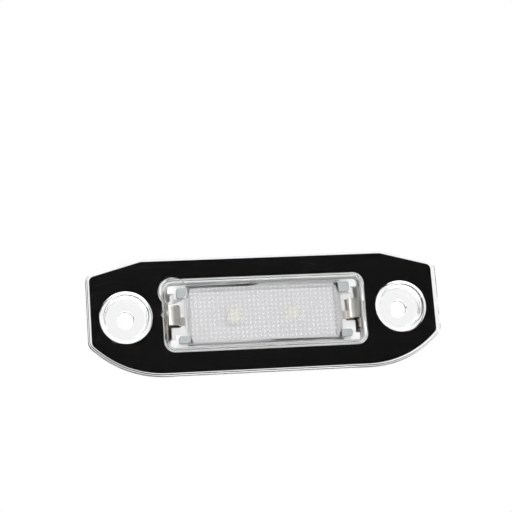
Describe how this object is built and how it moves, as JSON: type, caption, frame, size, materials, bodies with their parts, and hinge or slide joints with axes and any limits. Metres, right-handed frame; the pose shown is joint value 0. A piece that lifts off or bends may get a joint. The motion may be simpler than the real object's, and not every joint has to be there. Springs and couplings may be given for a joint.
{
  "type": "number plate lamp",
  "caption": "Car number plate lamp: a clear plate over a black surround, with a recessed screw cup at each end, a pillow-lens window, and a white light box with a plug socket behind.",
  "frame": {"origin": "midway between the two screw holes, on the rear face of their bosses, where the lamp seats", "axes": "+X along the lamp, -Y out of the light, +Z towards the straight upper edge"},
  "size_m": [0.102, 0.0235, 0.0345],
  "materials": {
    "clear_polycarbonate": "clear, polished",
    "black_ink": "even black against the clear plate",
    "optic_polycarbonate": "clear, pillowed",
    "grey_clip": "natural grey, moulded",
    "white_tray": "white, moulded",
    "board_laminate": "white solder resist",
    "emitter_ceramic": "white ceramic",
    "yellow_phosphor": "pale yellow silicone",
    "resistor_ceramic": "black glaze on ceramic",
    "chip_plastic": "moulded epoxy",
    "capacitor_ceramic": "tan ceramic",
    "nickel_contact": "nickel plated spring strip",
    "bronze_strip": "dull bronze strip",
    "tinned_blade": "tinned",
    "foam_rubber": "closed cell foam",
    "white_box": "white, moulded"
  },
  "bodies": {
    "root": {"front_lens": "clear_polycarbonate", "black_layer": "black_ink", "optic_plate": "optic_polycarbonate", "clip_upper_left": "grey_clip", "clip_upper_right": "grey_clip", "clip_lower_left": "grey_clip", "clip_lower_right": "grey_clip", "reflector_tray": "white_tray", "light_board": "board_laminate", "emitter_bodies": "emitter_ceramic", "emitter_phosphors": "yellow_phosphor", "resistors": "resistor_ceramic", "bridge_rectifier": "chip_plastic", "current_driver": "chip_plastic", "capacitors": "capacitor_ceramic", "left_contact": "nickel_contact", "right_contact": "nickel_contact", "left_supply_strip": "bronze_strip", "right_supply_strip": "bronze_strip", "left_plug_blade": "tinned_blade", "right_plug_blade": "tinned_blade", "flange_gasket": "foam_rubber", "rear_box": "white_box"}
  },
  "joints": []
}
